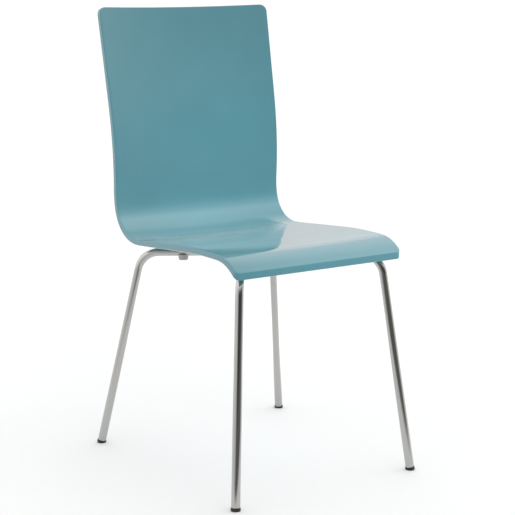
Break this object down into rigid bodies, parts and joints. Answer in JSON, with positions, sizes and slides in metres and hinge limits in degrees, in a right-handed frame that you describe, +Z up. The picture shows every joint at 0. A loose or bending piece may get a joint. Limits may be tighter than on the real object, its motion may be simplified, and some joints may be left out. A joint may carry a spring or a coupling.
{
  "type": "stacking chair",
  "caption": "Stacking chair: a bent plywood shell with seat and back in one, on chromed crossing tube legs.",
  "frame": {"origin": "on the floor, under the middle of the chair's outline", "axes": "+Z up, the chair faces -Y, +X to the right seen from its front, x = 0 is the mirror plane"},
  "size_m": [0.4482, 0.522, 0.8605],
  "materials": {
    "lacquer": "gloss teal lacquer over bent plywood, edges painted too",
    "chrome": "bright chrome plate on steel tube",
    "zinc_steel": "zinc-plated steel",
    "grey_plastic": "smooth grey plastic",
    "black_plastic": "moulded black plastic"
  },
  "bodies": {
    "root": {"seat_shell": "lacquer", "front_leg_loop": "chrome", "rear_leg_loop": "chrome", "centre_plate": "chrome", "weld_beads": "chrome", "seat_spacer_front_left": "black_plastic", "insert_nut_front_left": "zinc_steel", "seat_screw_front_left": "zinc_steel", "saddle_washer_front_left": "zinc_steel", "stack_bumper_front_left": "grey_plastic", "foot_glide_front_left": "black_plastic", "seat_spacer_front_right": "black_plastic", "insert_nut_front_right": "zinc_steel", "seat_screw_front_right": "zinc_steel", "saddle_washer_front_right": "zinc_steel", "stack_bumper_front_right": "grey_plastic", "foot_glide_front_right": "black_plastic", "seat_spacer_rear_left": "black_plastic", "insert_nut_rear_left": "zinc_steel", "seat_screw_rear_left": "zinc_steel", "saddle_washer_rear_left": "zinc_steel", "stack_bumper_rear_left": "grey_plastic", "foot_glide_rear_left": "black_plastic", "seat_spacer_rear_right": "black_plastic", "insert_nut_rear_right": "zinc_steel", "seat_screw_rear_right": "zinc_steel", "saddle_washer_rear_right": "zinc_steel", "stack_bumper_rear_right": "grey_plastic", "foot_glide_rear_right": "black_plastic"}
  },
  "joints": []
}
